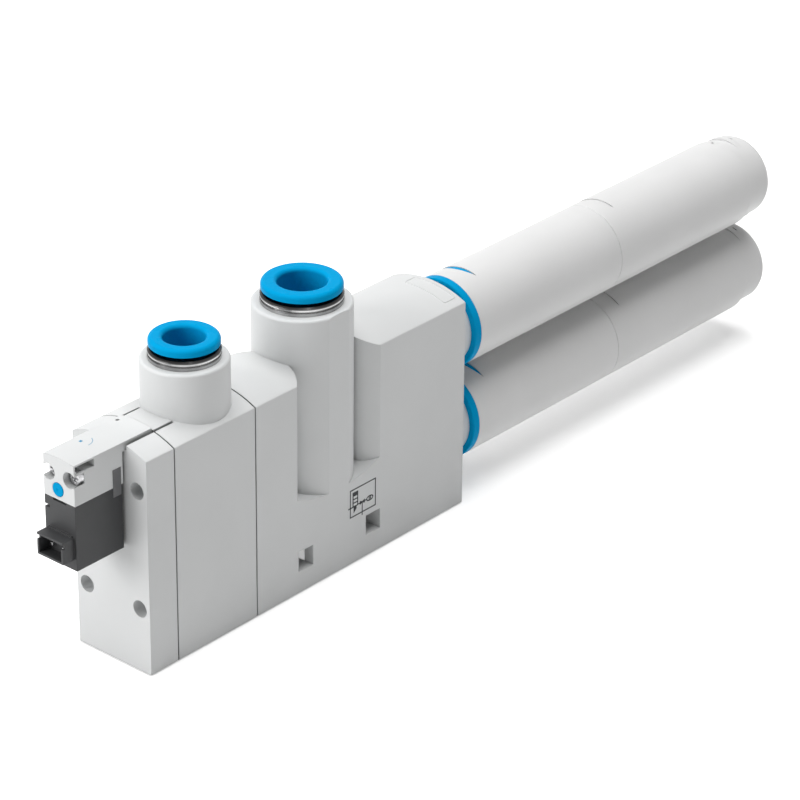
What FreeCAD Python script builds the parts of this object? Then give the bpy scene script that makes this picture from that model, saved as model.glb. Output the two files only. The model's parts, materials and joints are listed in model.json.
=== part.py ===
import FreeCAD, Part
import math
import os
import re
import Sketcher

# Vacuum ejector, 24 mm wide: an end plate with a small pilot valve, a valve block, the ejector
# housing with its nozzles, two push-in tube ports on top and two silencers on the rear face.
# Lengths along X are measured from the front face of the end plate, which lies at -origin_x.
# Y runs across the width from the middle plane, and Z goes up from the underside.

SIZES = {
    # Blocks
    "origin_x": 112.2,
    "body_width": 24.0,
    "side_height": 57.0,
    "crown_rise": 2.7,
    "edge_round": 0.4,
    "plate_length": 9.0,
    "valve_block_length": 26.8,
    "housing_length": 76.3,
    "gasket_thickness": 0.4,
    "gasket_inset": 0.35,
    "axis_height": 32.7,
    # Tie screws
    "tie_spread": 17.5,
    "tie_rise": 31.4,
    "tie_head_radius": 2.1,
    "tie_head_gap": 0.1,
    "tie_head_height": 2.2,
    "tie_sunk": 5.6,
    "tie_shank_radius": 1.25,
    "tie_shank_gap": 0.1,
    "tie_bite": 11.0,
    "tie_drive_reach": 1.45,
    "tie_drive_width": 0.7,
    "tie_drive_depth": 1.1,
    # Tube ports
    "rim_height": 71.0,
    "rim_round": 0.7,
    "supply_x": 25.3,
    "supply_boss_radius": 10.75,
    "supply_sleeve_radius": 8.75,
    "supply_tube_radius": 5.0,
    "supply_passage_radius": 3.6,
    "vacuum_x": 65.8,
    "vacuum_boss_radius": 12.5,
    "vacuum_sleeve_radius": 10.25,
    "vacuum_tube_radius": 6.0,
    "vacuum_passage_radius": 5.2,
    "tube_play": 0.1,
    "sleeve_stand": 2.4,
    "sleeve_depth": 9.8,
    "ring_flange": 1.9,
    "ring_inset": 0.17,
    "ring_wall": 1.1,
    "ring_play": 0.08,
    "ring_reach": 8.6,
    "ring_round": 1.0,
    "sleeve_edge": 0.45,
    "sleeve_groove_drop": 1.0,
    "sleeve_groove_width": 0.5,
    "sleeve_groove_depth": 0.3,
    "release_travel": 0.8,
    "release_rest": 0.2,
    "grip_thickness": 0.6,
    "grip_bite": 0.15,
    "grip_slot_width": 0.8,
    "tube_seal_wall": 2.6,
    "tube_seal_height": 3.2,
    "tube_seal_lip": 1.2,
    "tube_seal_inner_edge": 0.8,
    "tube_seal_valley": 1.3,
    "tube_seal_outer_edge": 1.8,
    "tube_stop_depth": 21.0,
    # Grooves beside the vacuum boss
    "groove_half_length": 15.15,
    "groove_floor": 23.2,
    "groove_floor_radius": 40.0,
    "groove_corner_radius": 9.5,
    "groove_corner_x": 20.5,
    "groove_corner_y": 4.2,
    # Clip pocket in the underside
    "clip_x": 56.45,
    "clip_length": 19.35,
    "clip_width": 18.2,
    "clip_height": 11.6,
    "wall_over_clip": 3.0,
    "window_length": 5.3,
    "window_floor": 6.0,
    # Piston valve
    "piston_radius": 6.5,
    "piston_play": 0.06,
    "piston_gap": 1.6,
    "piston_head": 2.6,
    "piston_travel": 2.0,
    "piston_bore_depth": 10.0,
    "piston_ring_width": 1.2,
    "piston_ring_depth": 1.0,
    "piston_ring_play": 0.03,
    "guide_length": 2.1,
    "stem_radius": 2.5,
    "stem_play": 0.05,
    "stem_neck_radius": 1.7,
    "outlet_radius": 5.2,
    "seat_x": 20.2,
    "seat_length": 1.6,
    "seat_radius": 3.2,
    "poppet_radius": 4.4,
    "poppet_length": 2.0,
    "poppet_tail": 0.5,
    "poppet_back_radius": 2.7,
    "poppet_edge": 1.0,
    "neck_lead": 2.0,
    "piston_wire": 0.45,
    "piston_coil_radius": 4.3,
    # Nozzles
    "nozzle_radius": 6.5,
    "jet_length": 23.4,
    "jet_seat_length": 17.0,
    "jet_inlet_radius": 3.6,
    "jet_throat_radius": 1.5,
    "jet_throat_x": 14.0,
    "jet_exit_radius": 1.9,
    "jet_nose_radius": 2.9,
    "nozzle_gap": 3.5,
    "receiver_stop_length": 2.1,
    "receiver_mouth_radius": 4.0,
    "receiver_throat_radius": 2.9,
    "receiver_throat_x": 6.5,
    "receiver_throat_length": 13.0,
    "receiver_exit_radius": 4.6,
    "receiver_nose_radius": 4.7,
    "receiver_nose_length": 8.5,
    "receiver_stop": 0.9,
    "jet_shoulder": 1.8,
    "nozzle_ring_width": 1.5,
    "nozzle_ring_depth": 1.1,
    "nozzle_ring_x": 3.2,
    # Exhaust chamber and spigots
    "exhaust_length": 6.0,
    "exhaust_width": 16.0,
    "rear_wall": 3.8,
    "silencer_spacing": 26.0,
    "spigot_radius": 10.6,
    "spigot_length": 4.2,
    "spigot_nose_radius": 9.4,
    "spigot_nose_length": 8.0,
    "spigot_bore_radius": 8.0,
    # Silencers
    "silencer_radius": 12.13,
    "silencer_wall": 1.28,
    "silencer_play": 0.05,
    "silencer_edge": 0.22,
    "silencer_end_round": 1.4,
    "silencer_end_step": 0.4,
    "lock_ring_length": 2.2,
    "lock_sleeve_length": 8.2,
    "module_length": 57.5,
    "upper_turn": -13.0,
    "lower_turn": 4.0,
    "lock_latch_offset": 7.2,
    "joint_latch_offset": 6.0,
    "latch_end": 1.2,
    "latch_width": 1.8,
    "latch_half_length": 6.6,
    "latch_height": 9.6,
    "latch_gap": 0.12,
    "latch_nub_radius": 11.95,
    "joint_wall": 1.4,
    "joint_step": 1.4,
    "cap_radius": 11.3,
    "cap_length": 9.7,
    "cap_plug_length": 6.0,
    "cap_wall": 1.6,
    "cap_rib_offset": 3.9,
    "cap_rib_width": 1.6,
    "cap_rib_radius": 9.3,
    "cap_rib_lift": 2.5,
    "cap_mark_length": 1.1,
    "cap_mark_width": 1.6,
    "cap_mark_depth": 0.6,
    "cap_mark_shift": 1.8,
    "mouth_radius": 7.4,
    "mouth_flare": 0.7,
    "absorber_radius": 7.4,
    "absorber_gap": 0.2,
    # Pilot valve
    "pilot_width": 10.0,
    "pilot_depth": 16.0,
    "pilot_top": 59.9,
    "pilot_rise": 0.45,
    "pilot_floor": 49.4,
    "pilot_seal_thickness": 0.6,
    "pilot_seal_width": 4.8,
    "pilot_seal_margin": 1.2,
    "tail_floor": 57.6,
    "tail_play": 0.7,
    "ridge_length": 6.2,
    "pilot_air_height": 50.15,
    "pilot_feed_height": 55.0,
    "pilot_air_radius": 0.5,
    "pilot_seat_hole": 0.35,
    "pilot_turn_x": 4.5,
    "pilot_screw_y": 3.4,
    "pilot_screw_height": 55.7,
    "pilot_head_radius": 1.6,
    "pilot_head_gap": 0.45,
    "pilot_head_height": 1.5,
    "pilot_head_sunk": 1.7,
    "pilot_drive_reach": 1.1,
    "pilot_drive_width": 0.56,
    "pilot_drive_depth": 0.75,
    "pilot_shank_radius": 1.0,
    "pilot_shank_gap": 0.05,
    "pilot_screw_bite": 6.0,
    "window_front": 0.4,
    "pilot_window_length": 6.0,
    "pilot_window_floor": 57.5,
    "pilot_window_height": 2.0,
    "pilot_window_depth": 4.6,
    "tail_hole_x": 6.4,
    "tail_hole_y": 3.5,
    "tail_hole_radius": 0.5,
    "tail_hole_depth": 1.4,
    "button_radius": 1.75,
    "button_play": 0.08,
    "button_y": 0.4,
    "button_height": 52.0,
    "button_proud": 0.2,
    "button_dimple_radius": 0.6,
    "button_dimple_depth": 0.25,
    "button_head": 3.0,
    "button_stem_radius": 0.8,
    "button_bore": 4.7,
    "button_travel": 0.7,
    "button_wire": 0.18,
    "button_coil_radius": 1.25,
    # Solenoid coil
    "coil_floor": 32.5,
    "coil_inset": 0.05,
    "coil_back": 0.9,
    "coil_x": 8.4,
    "bobbin_radius": 4.1,
    "bobbin_wall": 0.7,
    "bobbin_flange": 1.0,
    "bobbin_bore": 2.2,
    "coil_end_wall": 1.1,
    "winding_gap": 0.15,
    "core_length": 7.4,
    "core_radius": 2.2,
    "armature_play": 0.07,
    "armature_travel": 0.5,
    "armature_rest": 0.1,
    "armature_pocket_radius": 2.6,
    "armature_pocket": 1.5,
    "armature_seat_radius": 0.9,
    "armature_seat_drop": 0.6,
    "armature_spring_bore": 1.3,
    "armature_spring_depth": 3.0,
    "core_spring_depth": 1.0,
    "armature_wire": 0.2,
    "armature_coil_radius": 0.95,
    "shroud_length": 3.6,
    "shroud_width": 8.4,
    "shroud_floor": 35.4,
    "shroud_height": 5.7,
    "shroud_wall": 0.55,
    "shroud_depth": 3.3,
    "shroud_notch": 0.7,
    "shroud_notch_height": 1.2,
    "shroud_ledge": 0.4,
    "shroud_ledge_inset": 0.4,
    "pin_size": 0.64,
    "pin_pitch": 3.8,
    "pin_height": 37.8,
    "pin_length": 1.0,
    "pin_bite": 1.4,
    "coil_slot_width": 4.3,
    "coil_slot_height": 0.6,
    "coil_slot_depth": 0.5,
    "corner_notch": 1.6,
    "corner_notch_height": 0.8,
    "corner_notch_drop": 2.4,
    "clip_leg": 2.6,
    "clip_leg_x": 1.3,
    "clip_leg_floor": 46.9,
    "clip_leg_top": 54.0,
    "clip_sheet": 0.5,
    "clip_proud": 0.1,
    "clip_bar": 0.8,
}

# Places that follow from the sizes
BLOCK_X = "(plate_length + gasket_thickness)"
BLOCK_END = "(plate_length + gasket_thickness + valve_block_length)"
HOUSING_X = "(plate_length + 2 * gasket_thickness + valve_block_length)"
HOUSING_END = "(plate_length + 2 * gasket_thickness + valve_block_length + housing_length)"
CROWN_TOP = "(side_height + crown_rise)"
UPPER_Z = "(axis_height + silencer_spacing / 2)"
LOWER_Z = "(axis_height - silencer_spacing / 2)"
LOCK_X = f"({HOUSING_END} + spigot_length)"
BASE_X = f"({LOCK_X} + lock_ring_length)"
EXTENSION_X = f"({BASE_X} + module_length)"
CAP_X = f"({BASE_X} + 2 * module_length)"
TUBE_BORE = "(silencer_radius - silencer_wall)"
PLUG = "(silencer_radius - silencer_wall - silencer_play)"
LATCH_CURVE = "((latch_half_length^2 + latch_width^2) / (2 * latch_width))"
THROAT = "(silencer_radius - silencer_wall - silencer_play - joint_wall)"
EXHAUST_X = f"({HOUSING_END} - rear_wall - exhaust_length)"
RECEIVER_X = f"({HOUSING_X} + jet_length + nozzle_gap)"
RECEIVER_END = f"({EXHAUST_X} - receiver_stop_length)"
PISTON_X = f"({BLOCK_X} + piston_gap)"
GUIDE_X = f"({BLOCK_X} + piston_bore_depth)"
SEAT_X = f"({BLOCK_X} + seat_x)"
POPPET_X = f"({SEAT_X} + seat_length)"
COIL_TOP = "(pilot_floor - coil_end_wall / 2)"
CORE_FLOOR = "(coil_floor + coil_end_wall)"
CORE_TOP = f"({CORE_FLOOR} + core_length)"
ARMATURE_FLOOR = f"({CORE_TOP} + armature_travel + armature_rest)"
ARMATURE_TOP = "(pilot_floor + armature_pocket - armature_seat_drop)"
PILOT_FRONT = "(-pilot_depth)"
PILOT_BACK = "(-pilot_seal_thickness)"
PIN_PLACES = ("-pin_pitch / 2", "pin_pitch / 2")
STAPLE_X = ("-clip_leg_x - clip_leg", "-clip_leg_x")
TAIL_SLOT = "(pilot_width / 2 + tail_play)"

PORTS = ("supply", "vacuum")
SILENCERS = {"upper": UPPER_Z, "lower": LOWER_Z}
TURN_TO_X = FreeCAD.Rotation(FreeCAD.Vector(0, 1, 0), 90)
TURN_TO_Y = FreeCAD.Rotation(FreeCAD.Vector(1, 0, 0), -90)
STAND_UP = FreeCAD.Rotation(FreeCAD.Vector(0, 1, 0), -90)
CUT_PAST = "1"
SPRING_STEPS = 12
SPRING_SIDES = 6
PISTON_TURNS = 3
BUTTON_TURNS = 2
ARMATURE_TURNS = 4
NEAR = 0.01
FIRST_TURN = 0.1

doc = FreeCAD.newDocument("VacuumEjector")
pieces = []


def fill_sheet():
    """Write every size into the sheet as a named cell."""
    sheet = doc.addObject("Spreadsheet::Sheet", "Sizes")
    for row, (name, value) in enumerate(SIZES.items(), start=1):
        sheet.set(f"A{row}", name)
        sheet.set(f"B{row}", str(value))
        sheet.setAlias(f"B{row}", name)
    doc.recompute()


def formula(text):
    """Turn the names of sizes in a formula into references to the sheet."""
    return re.sub(r"\b[a-z]\w*\b(?!\()", r"Sizes.\g<0>", text)


def bind(feature, **formulas):
    """Tie properties of a feature to formulas."""
    for name, text in formulas.items():
        feature.setExpression(name, formula(text))


def place(feature, x="0", y="0", z="0", turn=FreeCAD.Rotation()):
    """Set a feature's turn and tie its place to formulas."""
    feature.Placement = FreeCAD.Placement(FreeCAD.Vector(), turn)
    feature.setExpression("Placement.Base.x", formula(f"{x} - origin_x"))
    feature.setExpression("Placement.Base.y", formula(y))
    feature.setExpression("Placement.Base.z", formula(z))
    return feature


def piece(label, feature):
    """Keep a finished feature as the sub-part of that name."""
    feature.Label = label
    pieces.append(feature)
    return feature


def span_length(span):
    """The formula for the length of a (low, high) span."""
    return f"({span[1]}) - ({span[0]})"


def about(middle, half):
    """The span that reaches half to either side of a middle."""
    return (f"({middle}) - ({half})", f"({middle}) + ({half})")


def box(name, x, y, z):
    """A block from three (low, high) spans of formulas."""
    feature = doc.addObject("Part::Box", name)
    bind(feature, Length=span_length(x), Width=span_length(y), Height=span_length(z))
    return place(feature, x[0], y[0], z[0])


def cylinder(name, radius, span, x="0", y="0", z="0", way="x"):
    """A cylinder along an axis, from the low to the high formula of its span."""
    feature = doc.addObject("Part::Cylinder", name)
    bind(feature, Radius=radius, Height=span_length(span))
    if way == "x":
        return place(feature, span[0], y, z, TURN_TO_X)
    if way == "y":
        return place(feature, x, span[0], z, TURN_TO_Y)
    return place(feature, x, y, span[0])


def fuse(name, parts):
    """Join several features into one solid."""
    feature = doc.addObject("Part::MultiFuse", name)
    feature.Shapes = parts
    return feature


def cut(name, base, tools):
    """Take several features away from a base."""
    feature = doc.addObject("Part::Cut", name)
    feature.Base = base
    feature.Tool = tools[0] if len(tools) == 1 else fuse(name + "_tools", tools)
    return feature


def common(name, first, second):
    """Keep what two features share."""
    feature = doc.addObject("Part::Common", name)
    feature.Base = first
    feature.Tool = second
    return feature


def group(name, parts):
    """Gather separate solids of one sub-part."""
    feature = doc.addObject("Part::Compound", name)
    feature.Links = parts
    return feature


def origin_plane(body, role):
    """The origin plane of a body that has the given role."""
    return next(plane for plane in body.Origin.OriginFeatures if plane.Role == role)


def new_sketch(body, name, role):
    """A sketch on one of the body's own origin planes."""
    sketch = body.newObject("Sketcher::SketchObject", name)
    sketch.AttachmentSupport = [(origin_plane(body, role), "")]
    sketch.MapMode = "FlatFace"
    return sketch


def tie_corner(sketch, line, start, corner):
    """Tie the start point of a line to a pair of formulas."""
    for kind, value, text in zip(("DistanceX", "DistanceY"), (start.x, start.y), corner):
        index = sketch.addConstraint(Sketcher.Constraint(kind, -1, 1, line, 1, value))
        sketch.setExpression(f"Constraints[{index}]", formula(text))


def draw_outline(sketch, corners):
    """Draw a closed outline of straight lines through the corners."""
    count = len(corners)
    turns = [2 * math.pi * i / count + FIRST_TURN for i in range(count)]
    starts = [FreeCAD.Vector(math.cos(turn), math.sin(turn), 0) for turn in turns]
    for i in range(count):
        sketch.addGeometry(Part.LineSegment(starts[i], starts[(i + 1) % count]), False)
    for i in range(count):
        sketch.addConstraint(Sketcher.Constraint("Coincident", i, 2, (i + 1) % count, 1))
    for i, corner in enumerate(corners):
        tie_corner(sketch, i, starts[i], corner)


def turned(name, corners, z="0", x="0", y="0", way="x"):
    """A body turned about its own axis from an outline of (along, radius) corners."""
    body = doc.addObject("PartDesign::Body", name)
    sketch = new_sketch(body, name + "_outline", "XY_Plane")
    draw_outline(sketch, corners)
    turning = body.newObject("PartDesign::Revolution", name + "_turning")
    turning.Profile = sketch
    turning.ReferenceAxis = (sketch, ["H_Axis"])
    turning.Angle = 360
    turn = FreeCAD.Rotation() if way == "x" else STAND_UP
    return place(body, x, y, z, turn)


def crowned_bar(name, x, width, height, rise, inset="0"):
    """A bar along X with upright sides and an arched top."""
    half = SIZES["body_width"] / 2
    side = SIZES["side_height"]
    crown = SIZES["crown_rise"]
    corners = (
        (f"-({width}) / 2 + {inset}", f"{height[0]} + {inset}"),
        (f"({width}) / 2 - {inset}", f"{height[0]} + {inset}"),
        (f"({width}) / 2 - {inset}", f"{height[1]} - {inset}"),
        (f"-({width}) / 2 + {inset}", f"{height[1]} - {inset}"),
    )
    starts = [
        FreeCAD.Vector(-half, 0, 0),
        FreeCAD.Vector(half, 0, 0),
        FreeCAD.Vector(half, side, 0),
        FreeCAD.Vector(-half, side, 0),
    ]
    crest = FreeCAD.Vector(0, side + crown, 0)
    body = doc.addObject("PartDesign::Body", name)
    sketch = new_sketch(body, name + "_section", "YZ_Plane")
    sketch.addGeometry(Part.LineSegment(starts[0], starts[1]), False)
    sketch.addGeometry(Part.LineSegment(starts[1], starts[2]), False)
    sketch.addGeometry(Part.Arc(starts[2], crest, starts[3]), False)
    sketch.addGeometry(Part.LineSegment(starts[3], starts[0]), False)
    for i in range(len(starts)):
        sketch.addConstraint(Sketcher.Constraint("Coincident", i, 2, (i + 1) % len(starts), 1))
    for i, corner in enumerate(corners):
        tie_corner(sketch, i, starts[i], corner)
    chord = f"(({width}) - 2 * {inset})"
    first_radius = (half ** 2 + crown ** 2) / (2 * crown)
    index = sketch.addConstraint(Sketcher.Constraint("Radius", 2, first_radius))
    radius = f"({chord}^2 / 4 + {rise}^2) / (2 * {rise})"
    sketch.setExpression(f"Constraints[{index}]", formula(radius))
    pad = body.newObject("PartDesign::Pad", name + "_pad")
    pad.Profile = sketch
    bind(pad, Length=span_length(x))
    return place(body, x[0])


def round_edges(body, pick, radius):
    """Round the edges of a body's last feature that the test picks."""
    doc.recompute()
    last = body.Tip
    shape = last.Shape
    names = [f"Edge{i}" for i, edge in enumerate(shape.Edges, start=1) if pick(edge, shape)]
    rounding = body.newObject("PartDesign::Fillet", body.Name + "_rounding")
    rounding.Base = (last, names)
    bind(rounding, Radius=radius)
    return body


def runs_along_x(edge, _):
    """True for a straight edge along X."""
    return edge.Curve.TypeId == "Part::GeomLine" and abs(edge.Curve.Direction.x) > 1 - NEAR


def size(name):
    """A size read from the sheet, for shapes that take numbers."""
    return getattr(doc.Sizes, name)


def wire_section(coil_radius, wire, angle, height):
    """The many-sided section of a spring's wire at an angle round the coil."""
    points = []
    for i in range(SPRING_SIDES + 1):
        turn = 2 * math.pi * i / SPRING_SIDES
        reach = coil_radius + wire * math.cos(turn)
        level = height + wire * math.sin(turn)
        points.append(FreeCAD.Vector(reach * math.cos(angle), reach * math.sin(angle), level))
    return Part.makePolygon(points)


def coil_spring(name, coil_radius, wire, length, turns, x="0", y="0", z="0", way="x"):
    """A wire spring that fills its length, in short straight steps round the coil."""
    feature = doc.addObject("Part::Feature", name)
    steps = turns * SPRING_STEPS
    rise = (length - 2 * wire) / steps
    sections = [
        wire_section(coil_radius, wire, 2 * math.pi * i / SPRING_STEPS, wire + rise * i)
        for i in range(steps + 1)
    ]
    feature.Shape = Part.makeLoft(sections, True, True)
    return place(feature, x, y, z, TURN_TO_X if way == "x" else FreeCAD.Rotation())


def tie_places():
    """The four (y, z) formulas of the tie screws."""
    return [
        (f"{side} * tie_spread / 2", f"axis_height + {level} * tie_rise / 2")
        for side in (-1, 1)
        for level in (-1, 1)
    ]


def tie_holes(name, span, radius="tie_shank_radius + tie_shank_gap"):
    """Four holes for the tie screws through a block."""
    return [
        cylinder(f"{name}_tie_{i}", radius, span, y=y, z=z)
        for i, (y, z) in enumerate(tie_places())
    ]


def port_bores(port):
    """The stepped bore under the rim of a tube port, down to its passage."""
    x = f"{port}_x"
    tube = f"{port}_tube_radius"
    grip_floor = "rim_height - sleeve_depth - grip_thickness"
    seal_floor = f"{grip_floor} - tube_seal_height"
    tube_stop = "rim_height - tube_stop_depth"
    steps = (
        ("sleeve", f"{port}_sleeve_radius", (grip_floor, f"rim_height + {CUT_PAST}")),
        ("seal", f"{tube} + tube_seal_wall", (seal_floor, grip_floor)),
        ("tube", f"{tube} + tube_play", (tube_stop, seal_floor)),
        ("passage", f"{port}_passage_radius", ("axis_height", tube_stop)),
    )
    return [cylinder(f"{port}_{name}_bore", radius, span, x=x, way="z") for name, radius, span in steps]


def cross_recess(name, span, y, z, reach, width):
    """The two crossed slots in a screw's head."""
    return [
        box(f"{name}_drive_flat", span, about(y, reach), about(z, f"{width} / 2")),
        box(f"{name}_drive_upright", span, about(y, f"{width} / 2"), about(z, reach)),
    ]


def is_highest_circle(edge, shape):
    """True for a circle at the upper end of a turned shape."""
    level = edge.Vertexes[0].X
    return edge.Curve.TypeId == "Part::GeomCircle" and abs(level - shape.BoundBox.XMax) < NEAR


def boss(port, floor):
    """The round boss of a tube port with a rounded rim."""
    radius = f"{port}_boss_radius"
    corners = ((floor, "0"), (floor, radius), ("rim_height", radius), ("rim_height", "0"))
    body = turned(f"{port}_boss", corners, x=f"{port}_x", way="z")
    return round_edges(body, is_highest_circle, "rim_round")


def make_end_plate():
    """Front block with the pilot valve's slot, its air passages and the sunk tie screws."""
    bar = crowned_bar("plate_bar", ("0", "plate_length"), "body_width", ("0", "side_height"), "crown_rise")
    round_edges(bar, runs_along_x, "edge_round")
    front = f"-{CUT_PAST}"
    past = f"plate_length + {CUT_PAST}"
    over = ("tail_floor", f"{CROWN_TOP} + {CUT_PAST}")
    slot = box("plate_slot", (front, past), about("0", TAIL_SLOT), over)
    sunk = (front, "tie_sunk + tie_head_height")
    heads = tie_holes("plate_head", sunk, "tie_head_radius + tie_head_gap")
    shanks = tie_holes("plate", ("0", past))
    screws = [
        cylinder(f"plate_pilot_screw_{i}", "pilot_shank_radius", ("0", "pilot_screw_bite"),
                 y=f"{side} * pilot_screw_y", z="pilot_screw_height")
        for i, side in enumerate((-1, 1))
    ]
    radius = "pilot_air_radius"
    upright = ("axis_height", "pilot_air_height")
    air = [
        cylinder("plate_air_in", radius, (front, "pilot_turn_x"), z="pilot_air_height"),
        cylinder("plate_air_down", radius, upright, x="pilot_turn_x", way="z"),
        cylinder("plate_air_out", radius, ("pilot_turn_x", past), z="axis_height"),
        cylinder("plate_feed", radius, (front, past), z="pilot_feed_height"),
    ]
    piece("end_plate", cut("end_plate_cut", bar, [slot] + heads + shanks + screws + air))


def make_gasket(label, start, bore, feed):
    """A thin seal between two blocks, set in a little from their outline."""
    end = f"{start} + gasket_thickness"
    height = ("0", "side_height")
    bar = crowned_bar(label + "_bar", (start, end), "body_width", height, "crown_rise", "gasket_inset")
    span = (f"{start} - {CUT_PAST}", f"{end} + {CUT_PAST}")
    tools = tie_holes(label, span)
    tools.append(cylinder(label + "_bore", bore, span, z="axis_height"))
    if feed:
        over = ("tail_floor", f"{CROWN_TOP} + {CUT_PAST}")
        tools.append(box(label + "_slot", span, about("0", TAIL_SLOT), over))
        tools.append(cylinder(label + "_feed", "pilot_air_radius", span, z="pilot_feed_height"))
    piece(label, cut(label + "_cut", bar, tools))


def make_valve_block():
    """Middle block with the supply port and the chamber of the piston valve."""
    bar = crowned_bar("valve_bar", (BLOCK_X, BLOCK_END), "body_width", ("0", "side_height"), "crown_rise")
    round_edges(bar, runs_along_x, "edge_round")
    solid = fuse("valve_solid", [bar, boss("supply", "tail_floor")])
    front = f"{BLOCK_X} - {CUT_PAST}"
    rear = f"{BLOCK_END} + {CUT_PAST}"
    ridge = (front, f"{BLOCK_X} + ridge_length")
    grooves = [
        box("ridge_groove_near", ridge, (f"-{TAIL_SLOT}", "-pilot_width / 2"), ("tail_floor", CROWN_TOP)),
        box("ridge_groove_far", ridge, ("pilot_width / 2", TAIL_SLOT), ("tail_floor", CROWN_TOP)),
    ]
    guide = (front, f"{GUIDE_X} + guide_length + {CUT_PAST}")
    outlet = (f"{GUIDE_X} + guide_length", rear)
    chamber = [
        cylinder("piston_bore", "piston_radius", (front, GUIDE_X), z="axis_height"),
        cylinder("guide_bore", "stem_radius + stem_play", guide, z="axis_height"),
        cylinder("outlet_bore", "outlet_radius", outlet, z="axis_height"),
        cylinder("block_feed", "pilot_air_radius", (front, "supply_x"), z="pilot_feed_height"),
    ]
    tools = grooves + chamber + tie_holes("block", (front, rear)) + port_bores("supply")
    piece("valve_block", cut("valve_block_cut", solid, tools))


def groove_cutter():
    """The space beside the vacuum boss, open at both sides, over an arched floor."""
    x = "vacuum_x"
    across = about("0", f"body_width / 2 + {CUT_PAST}")
    level = ("groove_floor", f"{CROWN_TOP} + {CUT_PAST}")
    block = box("groove_block", about(x, "groove_half_length"), across, level)
    middle = "groove_floor + groove_floor_radius"
    wheel = cylinder("groove_wheel", "groove_floor_radius", across, x=x, z=middle, way="y")
    corners = [
        cylinder(f"groove_corner_{i}_{j}", "groove_corner_radius", ("0", "rim_height"),
                 x=f"{x} + {i} * groove_corner_x", y=f"{j} * groove_corner_y", way="z")
        for i in (-1, 1)
        for j in (-1, 1)
    ]
    return cut("groove_space", common("groove_region", block, wheel), corners)


def spigot(name, z):
    """The stepped tube on the rear face that carries a silencer."""
    tip = f"{LOCK_X} + spigot_nose_length"
    corners = (
        (f"{HOUSING_END} - rear_wall", "0"),
        (f"{HOUSING_END} - rear_wall", "spigot_radius"),
        (LOCK_X, "spigot_radius"),
        (LOCK_X, "spigot_nose_radius"),
        (tip, "spigot_nose_radius"),
        (tip, "0"),
    )
    return turned(f"{name}_spigot", corners, z=z)


def clip_cutters():
    """The pocket in the underside and the two windows beside it, for a rail clip."""
    end = "clip_x + clip_length"
    across = about("0", f"body_width / 2 + {CUT_PAST}")
    level = ("window_floor", "clip_height")
    return [
        box("clip_pocket", ("clip_x", end), about("0", "clip_width / 2"), (f"-{CUT_PAST}", "clip_height")),
        box("clip_window_front", ("clip_x - window_length", "clip_x"), across, level),
        box("clip_window_rear", (end, f"{end} + window_length"), across, level),
    ]


def air_cutters():
    """The nozzle bore, its stop, the exhaust chamber and the way out through each spigot."""
    middle = "axis_height"
    nozzle = (f"{HOUSING_X} - {CUT_PAST}", RECEIVER_END)
    stop = (RECEIVER_END, f"{EXHAUST_X} + {CUT_PAST}")
    chamber = (EXHAUST_X, f"{EXHAUST_X} + exhaust_length")
    level = (f"{LOWER_Z} - spigot_bore_radius", f"{UPPER_Z} + spigot_bore_radius")
    out = (EXHAUST_X, f"{LOCK_X} + spigot_nose_length + {CUT_PAST}")
    ways = [cylinder(f"{name}_spigot_bore", "spigot_bore_radius", out, z=z) for name, z in SILENCERS.items()]
    return ways + [
        cylinder("nozzle_bore", "nozzle_radius", nozzle, z=middle),
        cylinder("nozzle_stop", "nozzle_radius - receiver_stop", stop, z=middle),
        box("exhaust_chamber", chamber, about("0", "exhaust_width / 2"), level),
    ]


def make_housing():
    """Main housing with the vacuum port, the nozzle bore, the exhaust chamber and the clip pocket."""
    length = (HOUSING_X, HOUSING_END)
    bar = crowned_bar("housing_bar", length, "body_width", ("0", "side_height"), "crown_rise")
    round_edges(bar, runs_along_x, "edge_round")
    grooved = cut("housing_grooved", bar, [groove_cutter()])
    around = about("vacuum_x", f"vacuum_boss_radius + {CUT_PAST}")
    slab = box("boss_slab", around, about("0", "body_width / 2"), ("0", f"rim_height + {CUT_PAST}"))
    column = common("boss_column", boss("vacuum", "clip_height + wall_over_clip"), slab)
    spigots = [spigot(name, z) for name, z in SILENCERS.items()]
    solid = fuse("housing_solid", [grooved, column] + spigots)
    bite = (f"{HOUSING_X} - {CUT_PAST}", f"{HOUSING_X} + tie_bite")
    ties = tie_holes("housing", bite, "tie_shank_radius")
    tools = air_cutters() + clip_cutters() + ties + port_bores("vacuum")
    piece("ejector_housing", cut("housing_cut", solid, tools))


def make_tie_screws():
    """Four long screws that hold the end plate and the valve block to the housing."""
    neck = "tie_sunk + tie_head_height"
    tip = f"{HOUSING_X} + tie_bite - tie_shank_gap"
    drive = (f"tie_sunk - {CUT_PAST}", "tie_sunk + tie_drive_depth")
    screws = []
    for i, (y, z) in enumerate(tie_places()):
        head = cylinder(f"tie_head_{i}", "tie_head_radius", ("tie_sunk", neck), y=y, z=z)
        shank = cylinder(f"tie_shank_{i}", "tie_shank_radius", (neck, tip), y=y, z=z)
        slots = cross_recess(f"tie_{i}", drive, y, z, "tie_drive_reach", "tie_drive_width")
        screws.append(cut(f"tie_screw_{i}", fuse(f"tie_blank_{i}", [head, shank]), slots))
    piece("tie_screws", group("tie_screw_set", screws))


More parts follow.
